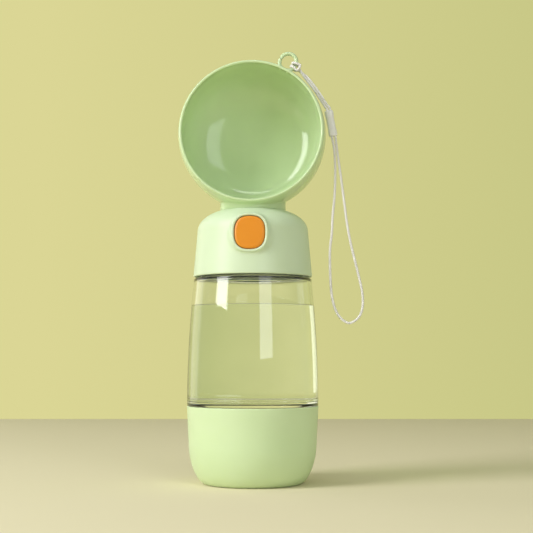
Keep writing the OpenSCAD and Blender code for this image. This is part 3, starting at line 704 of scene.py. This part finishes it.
def tank_r(z):
    return CUP_R - TANK_NARROWING * ((z - CUP_H) / TANK_H) ** 2


def inner_r(z):
    return tank_r(z) - TANK_WALL


roof_z = SHOULDER_Z - TANK_ROOF
profile = rounded(
    [(0, CUP_H), (SKIRT_IN_R, CUP_H, 0.6), (SKIRT_IN_R, SKIRT_LOW, 0.4), (SKIRT_R, SKIRT_LOW, 0.4),
     (SKIRT_R, CUP_H, 0.25), (CUP_R, CUP_H, 0.45)]
    + [(tank_r(z), z) for z in np.linspace(CUP_H + 1.2, SHOULDER_Z - 2.0, 60)]
    + [(tank_r(SHOULDER_Z), SHOULDER_Z, 1.0), (NECK_R, SHOULDER_Z, 0.5), (NECK_R, NECK_TOP_Z, 0.35),
       (NECK_R - TANK_WALL, NECK_TOP_Z, 0.35), (NECK_R - TANK_WALL, roof_z, 0.8),
       (inner_r(SHOULDER_Z - 2), roof_z, 1.0)]
    + [(inner_r(z), z) for z in np.linspace(SHOULDER_Z - 3.4, INNER_SIDE_LOW, 56)]
    + [(CUP_R - TANK_WALL, TANK_FLOOR_Z, FLOOR_CORNER), (0, TANK_FLOOR_Z)], steps=8)
tank = make("tank_body", *revolve(profile, 224, closed=False))
settle(tank, "reservoir", "clear_plastic", MATS["clear_plastic"], "tank")

# the water reaches just into the wall, and its edge fades out along the creep's distances from the wall
creep_at = (0.1, 0.22, 0.38, 0.6, 0.9, 1.4, 2.2)
profile = rounded(
    [(0, TANK_FLOOR_Z - SINK), (CUP_R - TANK_WALL + SINK, TANK_FLOOR_Z - SINK, FLOOR_CORNER)]
    + [(inner_r(z) + SINK, z) for z in np.linspace(INNER_SIDE_LOW, WATER_Z - 0.6, 46)]
    + [(inner_r(WATER_Z) + SINK, WATER_Z + CREEP)]
    + [(inner_r(WATER_Z) - d, WATER_Z + CREEP * math.exp(-d / 0.5)) for d in creep_at]
    + [(0, WATER_Z)], steps=8)
water = make("water_body", *revolve(profile, 224, closed=False))
settle(water, "reservoir", "clear_plastic", WATER)

# threads of the neck, which hold the cap's collar, and of the skirt, which hold the snack cup
THREAD_TURNS, THREAD_H, THREAD_ROOT = 1.6, 0.2, 0.12


def thread(name, radius, low, high, width, rows=9):
    """Rounded ridge that winds up round the axis and runs out at both ends."""
    n = int(120 * THREAD_TURNS)
    verts, faces = [], []
    for i in range(n + 1):
        t = i / n
        a = 2 * math.pi * THREAD_TURNS * t
        z = low + (high - low) * t
        fade = smooth(min(t, 1 - t) * THREAD_TURNS * 6)
        for k in range(rows):
            w = math.pi * k / (rows - 1)
            r = radius - THREAD_ROOT + (THREAD_ROOT + THREAD_H * fade) * math.sin(w)
            verts.append((r * math.sin(a), r * math.cos(a), z - width / 2 * math.cos(w)))
    for i in range(n):
        for k in range(rows):
            j = (k + 1) % rows
            faces.append((i * rows + k, i * rows + j, (i + 1) * rows + j, (i + 1) * rows + k))
    faces += [list(range(rows)), [n * rows + k for k in range(rows)]]
    settle(make(name, verts, faces, 60), "reservoir", "clear_plastic", MATS["clear_plastic"])


thread("neck_thread", NECK_R, SHOULDER_Z + 1.6, NECK_TOP_Z - 1.4, 1.5)
thread("skirt_thread", SKIRT_R, SKIRT_LOW + 1.4, CUP_H - 2.6, 1.6)

# ---------------------------------------------------------------- cap shell


def squircle(n=144):
    """Unit outline of the button, evenly spaced, as (cos, sin) factors for its half width and half height."""
    t = np.linspace(0, 2 * math.pi, 4001)
    c = np.sign(np.cos(t)) * np.abs(np.cos(t)) ** (2 / BUTTON_POWER)
    s = np.sign(np.sin(t)) * np.abs(np.sin(t)) ** (2 / BUTTON_POWER)
    d = np.concatenate([[0], np.cumsum(np.hypot(np.diff(c) * BUTTON_W / 2, np.diff(s) * BUTTON_H / 2))])
    at = np.linspace(0, d[-1], n + 1)[:-1]
    return np.stack([np.interp(at, d, c), np.interp(at, d, s)], axis=1)


OUTLINE = squircle()


def cap_r(z, wall=0.0):
    """Radius of the cap's outside, or of its inside, where the wall is its thickness."""
    if z <= DOME_Z:
        return LIP_R - (LIP_R - SHOULDER_R) * (z - LIP_Z) / (DOME_Z - LIP_Z) - wall
    share = (z - DOME_Z) / (DOME_FULL_H - wall)
    return (SHOULDER_R - wall) * max(0.0, 1 - share ** DOME_POWER) ** (1 / DOME_POWER)


def dome_rows(wall, spare, n):
    """Heights up the dome, closer together where it bends more, up to a little under its flat top."""
    turns = np.linspace(0, math.pi / 2, n)[1:]
    rises = [(DOME_FULL_H - wall) * math.sin(a) ** (2 / DOME_POWER) for a in turns]
    return [DOME_Z + rise for rise in rises if rise < DOME_H - wall - spare]


def plane_y(z, front):
    """Distance in front of the axis of the plane that is tilted with the cap's side."""
    return front - (z - BUTTON_Z) * math.tan(FACE_TILT)


def on_outline(k, m):
    return OUTLINE[k][0] * (BUTTON_W / 2 + m), BUTTON_Z + OUTLINE[k][1] * (BUTTON_H / 2 + m)


def depth_of(r, x):
    return math.sqrt(max(r * r - x * x, 0.0))


def flank(k):
    """Slope of the boss's side: gentle at the bottom and the sides, and steep at the top, by the dome."""
    return 1.9 + 5.1 * smooth(OUTLINE[k][1] / 0.85)


def on_face(k, m, back):
    """Point m outside the button's outline and this far behind the boss's face."""
    x, z = on_outline(k, m)
    return np.array([x, -(plane_y(z, BOSS_Y) - back), z])


def on_cap(k, m, wall=0.0):
    """Point of the cap's front, outside or inside, m outside the button's outline."""
    x, z = on_outline(k, m)
    return np.array([x, -depth_of(cap_r(z, wall), x), z])


def boss_edge(k):
    """Three points that round the edge between the boss's face and its side."""
    side = on_face(k, LAND_OUT + 0.4 / flank(k), 0.4)
    return on_face(k, LAND_OUT - 0.55, 0.0), on_face(k, LAND_OUT, 0.0), side


def boss_foot(k):
    """Three points that bend the boss's side into the cap, from where the two would meet."""
    low, high = 0.0, 4.0
    for _ in range(40):
        m = (low + high) / 2
        if on_face(k, LAND_OUT + m, flank(k) * m)[1] < on_cap(k, LAND_OUT + m)[1]:
            low = m
        else:
            high = m
    drop = flank(k) * low
    up = min(0.55 * drop, 1.7)
    return (on_face(k, LAND_OUT + low - up / flank(k), drop - up), on_face(k, LAND_OUT + low, drop),
            on_cap(k, LAND_OUT + low + 1.9))


def boss_rings(s):
    """Adds the sleeve round the button and the boss, and returns their rings on the cap's out- and inside."""
    def ring(point):
        return s.add([point(k) for k in range(len(OUTLINE))])

    def sleeve_end(m):
        return s.add([(x, -SLEEVE_BACK_Y, z) for x, z in (on_outline(k, m) for k in range(len(OUTLINE)))])

    def inside_cap(k, m):
        x, y, z = on_cap(k, m, CAP_WALL)
        return x, 0.06 - min(SLEEVE_BACK_Y, -y), z

    rings = [sleeve_end(GAP + 1.2), sleeve_end(GAP)]
    for m, back in ((GAP, 1.1), (GAP, 0.62), (GAP + 0.04, 0.48), (GAP + 0.46, 0.05), (GAP + 0.58, 0.0)):
        rings.append(ring(lambda k: on_face(k, m, back)))
    rings += [ring(lambda k: bent(*boss_edge(k), t)) for t in (0.0, 0.2, 0.4, 0.6, 0.8, 1.0)]
    feet = [boss_foot(k) for k in range(len(OUTLINE))]
    rings += [ring(lambda k: bent(*feet[k], t)) for t in (0.0, 0.12, 0.25, 0.4, 0.55, 0.7, 0.85, 1.0)]
    s.chain(rings)
    back = [rings[0]] + [ring(lambda k: inside_cap(k, m)) for m in (GAP + 1.2, GAP + 1.4)]
    back.append(ring(lambda k: on_cap(k, GAP + 1.42, CAP_WALL)))
    s.chain(back)
    return rings[-1], back[-1]


def cap_profile():
    """The cap's section: the lip, the side with the dome, the top with the stub's bearing, the inner side."""
    outer = [(cap_r(z), z) for z in list(np.linspace(LIP_Z + 0.8, DOME_Z, 26)) + dome_rows(0.0, 0.4, 40)]
    inner_z = dome_rows(CAP_WALL, 0.3, 32)[::-1] + list(np.linspace(DOME_Z, LIP_Z + 1.0, 24))
    inner = [(cap_r(z, CAP_WALL), z) for z in inner_z]
    lip_in, bore, bearing = LIP_R - CAP_WALL, STUB_R + 0.06, STUB_R + 2.46
    lip = [(lip_in + 0.3, LIP_Z + 0.3), (lip_in + 0.6, LIP_Z, 0.25), (LIP_R, LIP_Z, 0.8), outer[1]]
    top = [outer[-1], (cap_r(TOP_Z - 0.01), TOP_Z, 0.5), (STUB_R + 0.4, TOP_Z), (bore, TOP_Z - 0.35),
           (bore, BEARING_Z), (bearing, BEARING_Z), (bearing, TOP_Z - CAP_WALL, 0.6), inner[0]]
    return rounded(lip, steps=7, closed=False)[:-1], outer[1:], rounded(top, closed=False)[1:-1], inner


def cap_shell():
    s = Shell()
    boss_ring, back_ring = boss_rings(s)
    lip, outer, top, inner = cap_profile()
    prof = lip + outer + top + inner
    vs = lengths_along(prof)
    outer_vs, inner_vs = vs[len(lip):len(lip) + len(outer)], vs[-len(inner):]
    lookup = {float(v): p for v, p in zip(vs, prof)}

    def place(u, v):
        r, z = lookup[float(v)]
        return (-r * math.sin(u), r * math.cos(u), z)

    def loop_of(ring, heights, along):
        """The ring's points as angles and distances along the profile, where the heights may rise or fall."""
        sign = 1 if heights[-1] > heights[0] else -1
        keys = [sign * h for h in heights]
        uv = [(math.atan2(-x, y) % (2 * math.pi), float(np.interp(sign * z, keys, along)))
              for x, y, z in (s.verts[i] for i in ring)]
        return uv, ring

    loops = [loop_of(boss_ring, [z for _, z in outer], outer_vs),
             loop_of(back_ring, [z for _, z in inner], inner_vs)]
    us = np.linspace(0, 2 * math.pi, 168, endpoint=False)
    index = holed_grid(s, place, us, vs, MEAN_R, loops, 0.45)
    s.join(list(map(int, index[-1])), list(map(int, index[0])))
    return s.verts, s.faces


cap = make("cap_shell_body", *cap_shell())
settle(cap, "cap", "cap_plastic", MATS["cap_plastic"], "cap_shell")

# ---------------------------------------------------------------- button


def button_shell():
    s = Shell()
    n = len(OUTLINE)

    def face(m, back, scale=1.0):
        pts = []
        for k in range(n):
            x, z = on_outline(k, m)
            x, z = x * scale, BUTTON_Z + (z - BUTTON_Z) * scale
            pts.append((x, -(plane_y(z, FACE_Y) - back), z))
        return s.add(pts)

    def straight(m, y):
        return s.add([(on_outline(k, m)[0], -y, on_outline(k, m)[1]) for k in range(n)])

    edge = [(-1.18, 0.0), (-1.02, 0.03), (-0.9, 0.08), (-0.3, 0.32), (-0.14, 0.42), (-0.04, 0.58),
            (0.0, 0.8), (0.0, 2.0)]
    rings = [face(-1.35, 0.0, f) for f in (0.12, 0.3, 0.5, 0.7, 0.86, 0.95, 1.0)]
    rings += [face(m, back) for m, back in edge]
    flange = [(0.0, 1.35), (1.05, 1.2), (1.2, 1.05), (1.2, 0.0), (-1.8, 0.0)]
    rings += [straight(m, BUTTON_BACK_Y + fore) for m, fore in flange] + [straight(-1.8, FACE_Y - 2.6)]
    s.chain(rings)
    s.fan(rings[0], (0, -FACE_Y, BUTTON_Z))
    s.fan(rings[-1], (0, -(FACE_Y - 2.6), BUTTON_Z))
    return s.verts, s.faces


button = make("button_body", *button_shell(), 50)
settle(button, "press_button", "button_plastic", MATS["button_plastic"], "button")

# ---------------------------------------------------------------- bowl


def bowl_point(x, up, s):
    return BOWL_C + x * BOWL_X + up * BOWL_UP - s * BOWL_FORE


def bowl_local(p):
    d = np.asarray(p, float) - BOWL_C
    return d[0], float(np.dot(d, BOWL_UP)), -float(np.dot(d, BOWL_FORE))


def bowl_section(inset):
    """The bowl's section from behind the rim, over its widest place, to near the back, as (radius, depth)."""
    depths = np.linspace(1.2, WIDEST, 14)[:-1]
    out = [(BOWL_R + BOWL_BULGE * (1 - (1 - d / WIDEST) ** 2) - inset, d) for d in depths]
    a, b = BOWL_R + BOWL_BULGE - inset, BOWL_DEPTH - WIDEST - inset
    out += [(a * math.cos(t) ** (2 / BOWL_POWER), WIDEST + b * math.sin(t) ** (2 / BOWL_POWER))
            for t in np.linspace(0.004, math.pi / 2 - 0.02, 76)]
    return [(r, d) for r, d in out if r > 1.2]


def bowl_value(p, inset=0.0):
    """Below 0 within the bowl's outer surface, or its inner one with the wall as inset, and above 0 outside."""
    x, up, d = bowl_local(p)
    full = BOWL_R + BOWL_BULGE - inset
    if d < WIDEST:
        return (math.hypot(x, up) / (full - BOWL_BULGE * (1 - d / WIDEST) ** 2)) ** BOWL_POWER - 1
    share = (d - WIDEST) / (BOWL_DEPTH - WIDEST - inset)
    return (math.hypot(x, up) / full) ** BOWL_POWER + share ** BOWL_POWER - 1


def bowl_slope(p, h=1e-4):
    return np.array([(bowl_value(p + h * e) - bowl_value(p - h * e)) / (2 * h) for e in np.eye(3)])


def bowl_low(x, y, inset=0.0):
    """Height at which a vertical line meets the lower side of the bowl's outside or inside."""
    low, high = 148.0, 186.0
    for _ in range(50):
        z = (low + high) / 2
        if bowl_value((x, y, z), inset) > 0:
            low = z
        else:
            high = z
    return low


def neck_bend(x, y, reach=1.1, drop=1.0, rim=1.25):
    """Three points that bend the neck's side into the bowl, in less room where the bowl's rim is near."""
    out = unit((x, y, 0.0))
    hit = np.array([x, y, bowl_low(x, y)])
    away = unit(bowl_slope(hit))
    along = unit(out - away * np.dot(out, away))
    fore = np.dot(along, BOWL_FORE)
    room = min(1.0, max(0.1, (bowl_local(hit)[2] - rim) / max(1e-6, reach * fore))) if fore > 0 else 1.0
    end = hit + reach * room * along
    for _ in range(6):
        slope = bowl_slope(end)
        end = end - slope * bowl_value(end) / np.dot(slope, slope)
    return np.array([x, y, max(hit[2] - drop * room, NECK_FOOT_Z + 0.32)]), hit, end


def slope_key(r, d, inset):
    """Place along the bowl's section by its slope, which keeps the flat back and the straight side even."""
    if d < WIDEST:
        return (d - WIDEST) * 0.01
    return math.atan2(((d - WIDEST) / (BOWL_DEPTH - WIDEST - inset)) ** (BOWL_POWER / 2),
                      (r / (BOWL_R + BOWL_BULGE - inset)) ** (BOWL_POWER / 2))


def bowl_shell():
    s = Shell()

    def ring(radius, z, y=0.0):
        return s.add([(px, py, z) for px, py in circle(radius, y)])

    rings = [ring(OUTLET_R, SPOT_Z, OUTLET_Y), ring(OUTLET_R, CEILING_Z, OUTLET_Y)]
    for radius, z in ((BORE_R, CEILING_Z), (BORE_R, STUB_Z + 0.4), (BORE_R + 0.4, STUB_Z),
                      (STUB_R - 0.4, STUB_Z), (STUB_R, STUB_Z + 0.4), (STUB_R, NECK_FOOT_Z),
                      (BOWL_NECK_R - 0.12, NECK_FOOT_Z), (BOWL_NECK_R - 0.03, NECK_FOOT_Z + 0.03),
                      (BOWL_NECK_R, NECK_FOOT_Z + 0.12)):
        rings.append(ring(radius, z))
    bends = [neck_bend(x, y) for x, y in circle(BOWL_NECK_R)]
    for t in (0.0, 0.1, 0.22, 0.34, 0.46, 0.58, 0.7, 0.84, 1.0):
        rings.append(s.add([bent(*points, t) for points in bends]))
    s.chain(rings)
    spot = ring(SPOT_R, SPOT_Z, OUTLET_Y)
    s.join(spot, rings[0])
    lip = s.add([(x, y, bowl_low(x, y, BOWL_WALL)) for x, y in circle(SPOT_R + 0.12, OUTLET_Y)])
    s.join(lip, spot)

    inner, outer = bowl_section(BOWL_WALL)[::-1], bowl_section(0)
    half = BOWL_WALL / 2
    turns = np.linspace(0, math.pi, 15)
    rim = [(BOWL_R - half - half * math.cos(a), half - half * math.sin(a)) for a in turns]
    prof = inner + rim + outer
    vs = lengths_along(prof)
    lookup = {float(v): p for v, p in zip(vs, prof)}

    def place(u, v):
        r, d = lookup[float(v)]
        return bowl_point(r * math.sin(u), r * math.cos(u), d)

    def loop_of(loop, section, along, inset):
        """The loop's points as angles and distances along the profile; the inner section runs backwards."""
        sign = -1 if inset else 1
        keys = [sign * slope_key(r, d, inset) for r, d in section]
        uv = []
        for x, up, d in (bowl_local(s.verts[i]) for i in loop):
            key = sign * slope_key(math.hypot(x, up), d, inset)
            uv.append((math.atan2(x, up) % (2 * math.pi), float(np.interp(key, keys, along))))
        return uv, loop

    loops = [loop_of(rings[-1], outer, vs[-len(outer):], 0), loop_of(lip, inner, vs[:len(inner)], BOWL_WALL)]
    us = np.linspace(0, 2 * math.pi, 200, endpoint=False)
    index = holed_grid(s, place, us, vs, MEAN_R, loops, 0.42)
    s.fan([int(i) for i in index[0]], bowl_point(0, 0, BOWL_DEPTH - BOWL_WALL))
    s.fan([int(i) for i in index[-1]], bowl_point(0, 0, BOWL_DEPTH))
    return s.verts, s.faces


bowl = make("bowl_body", *bowl_shell(), 45)
settle(bowl, "drinking_bowl", "bowl_plastic", MATS["bowl_plastic"], "bowl")

# eyelet: a bent round bar with flared roots, let into the bowl's wall
FIRST, LAST, FLARE, FLARE_REACH = -70, 250, 0.35, 40
arc, radii = [], []
for a in np.linspace(FIRST, LAST, 120):
    arc.append(ring_point(math.radians(a))[0])
    off = min(a - FIRST, LAST - a)
    radii.append(EYELET_WIRE * (1 + FLARE * max(0.0, 1 - off / FLARE_REACH) ** 2))
eyelet = make("eyelet_ring", *tube(arc, radii, 28), sharp=60)
settle(eyelet, "drinking_bowl", "bowl_plastic", MATS["bowl_plastic"])

# outlet: a grommet with its flanges above the bowl's floor and below the ceiling of the neck's bore
OUT_IN_R, OUT_WAIST_R, OUT_LOW_R, OUT_TOP_R = 3.2, 4.2, 4.6, 5.5
low, under, top = CEILING_Z - 0.6, CEILING_Z - 0.05, SPOT_Z + 0.8
profile = rounded([
    (OUT_IN_R, low, 0.15), (OUT_LOW_R, low, 0.2), (OUT_LOW_R, under, 0.15), (OUT_WAIST_R, under, 0.05),
    (OUT_WAIST_R, SPOT_Z, 0.05), (OUT_TOP_R, SPOT_Z, 0.1), (OUT_TOP_R, top, 0.35),
    (OUT_IN_R + 0.7, top, 0.4), (OUT_IN_R, SPOT_Z + 0.1, 0.3)])
outlet = make("outlet_ring", *revolve(profile, 96, OUTLET_Y))
settle(outlet, "drinking_bowl", "silicone", MATS["silicone"], "outlet_grommet")

# valve spring: it rides on the valve, so all of it goes down with the stem
turns = np.linspace(0, 2 * math.pi * SPRING_TURNS, 24 * SPRING_TURNS + 1)
rise = np.linspace(SPRING_LOW_Z + SPRING_END, SPRING_TOP_Z - SPRING_END, len(turns))
coil = [(SPRING_R * math.cos(a), SPRING_Y + SPRING_R * math.sin(a), z) for a, z in zip(turns, rise)]
spring = make("valve_spring_coil", *tube(coil, SPRING_WIRE_R, 12), sharp=60)
settle(spring, "valve", "steel", MATS["steel"], "valve_spring")
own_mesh(spring)

# ---------------------------------------------------------------- CAD nodes that stay

for part in frame["record"]["subparts"]:
    node = frame["nodes"].get(part["node"])
    if node is not None and not node.hide_render:
        node.data.materials.clear()
        node.data.materials.append(MATS[part["material_slot"]])

# ---------------------------------------------------------------- stage

# the wall's left and right colours are painted light and shade: lighter on the left, towards the key lamp
WALL, WALL_LIT_LEFT, WALL_SHADED_RIGHT = lin(208, 207, 143), lin(219, 214, 149), lin(200, 200, 134)
WALL_REACH, WALL_Y, TABLE_BACK = 0.5, 1.6, 0.656
TABLE, FAR_TABLE = lin(231, 221, 192), lin(214, 205, 160)
FADE_START, FADE_END = 0.74, 1.25
AMBIENT, AMBIENT_STRENGTH = lin(240, 247, 218), 0.44


def turned(x, y, z):
    c, s_ = math.cos(PHOTO_TURN), math.sin(PHOTO_TURN)
    return (x * c - y * s_, x * s_ + y * c, z)


def sheet_of(name, corners, mat):
    me = bpy.data.meshes.new(name)
    me.from_pydata([turned(*c) for c in corners], [], [list(range(len(corners)))])
    o = bpy.data.objects.new(name, me)
    bpy.context.scene.collection.objects.link(o)
    me.materials.append(mat)


def coloured(nt, kind, colour):
    shader = nt.nodes.new(kind)
    shader.inputs["Color"].default_value = colour
    return shader


def table_material():
    """Lit near the bottle, and further out than the lamps the camera sees it in one plain colour."""
    mat, nt, out = nodes_of("table")
    away = nt.nodes.new("ShaderNodeVectorMath")
    away.operation = "LENGTH"
    nt.links.new(nt.nodes.new("ShaderNodeTexCoord").outputs["Object"], away.inputs[0])
    far = ranged(nt, away.outputs["Value"], 0.0, 1.0, FADE_START, FADE_END)
    blended(nt, out, combined(nt, "MULTIPLY", far, light_path(nt, "Is Camera Ray")),
            coloured(nt, "ShaderNodeBsdfDiffuse", TABLE), coloured(nt, "ShaderNodeEmission", FAR_TABLE))
    return mat


def wall_material():
    """Plain colour with painted shade, a little darker to the right, away from the key lamp, where it is seen
    straight, mirrored or through the tank.
    """
    mat, nt, out = nodes_of("wall")
    glow = nt.nodes.new("ShaderNodeEmission")
    place = nt.nodes.new("ShaderNodeSeparateXYZ")
    nt.links.new(nt.nodes.new("ShaderNodeTexCoord").outputs["Object"], place.inputs[0])
    across = ranged(nt, place.outputs["X"], 0.0, 1.0, -WALL_REACH, WALL_REACH)
    nt.links.new(mixed(nt, across, WALL_LIT_LEFT, WALL_SHADED_RIGHT), glow.inputs["Color"])
    seen = light_path(nt, "Is Camera Ray")
    for word in ("Is Glossy Ray", "Is Transmission Ray"):
        seen = combined(nt, "MAXIMUM", seen, light_path(nt, word))
    blended(nt, out, seen, coloured(nt, "ShaderNodeBsdfDiffuse", WALL), glow)
    return mat


sheet_of("table", [(-3, -3, 0), (3, -3, 0), (3, TABLE_BACK, 0), (-3, TABLE_BACK, 0)], table_material())
sheet_of("wall", [(-3, WALL_Y, -1), (3, WALL_Y, -1), (3, WALL_Y, 3), (-3, WALL_Y, 3)], wall_material())

world = bpy.data.worlds.new("studio")
bpy.context.scene.world = world
world.use_nodes = True
nt = world.node_tree
nt.nodes.clear()
ambient = coloured(nt, "ShaderNodeBackground", AMBIENT)
ambient.inputs["Strength"].default_value = AMBIENT_STRENGTH
shown = coloured(nt, "ShaderNodeBackground", WALL)
blended(nt, nt.nodes.new("ShaderNodeOutputWorld"), light_path(nt, "Is Camera Ray"), ambient, shown)

AIM, LAMP_TURN = Vector((0, 0, 0.1)), 0.055


def softbox(name, azimuth, elevation, distance, width, height, power, colour=(255, 255, 255)):
    """Soft lamp aimed at the bottle, by degrees to the right of the camera and above the table."""
    a, e = math.radians(azimuth) + LAMP_TURN, math.radians(elevation)
    at = Vector((math.sin(a) * math.cos(e), -math.cos(a) * math.cos(e), math.sin(e))) * distance + AIM
    lamp = bpy.data.lights.new(name, "AREA")
    lamp.shape, lamp.size, lamp.size_y = "RECTANGLE", width, height
    lamp.energy, lamp.color = power, lin(*colour)[:3]
    o = bpy.data.objects.new(name, lamp)
    o.location = at
    o.rotation_mode = "QUATERNION"
    o.rotation_quaternion = (AIM - at).to_track_quat("-Z", "Y")
    bpy.context.scene.collection.objects.link(o)


softbox("key", -61, 30, 1.3, 0.55, 0.96, 13.2)
softbox("second", 24, 19, 1.3, 0.54, 0.76, 3.1, (240, 243, 255))
softbox("rear", -125, 19.5, 1.0, 0.52, 0.92, 1.06, (250, 249, 255))
softbox("overhead", -5, 63, 1.3, 0.55, 0.12, 0.88)

bpy.context.scene.view_settings.view_transform = "Standard"
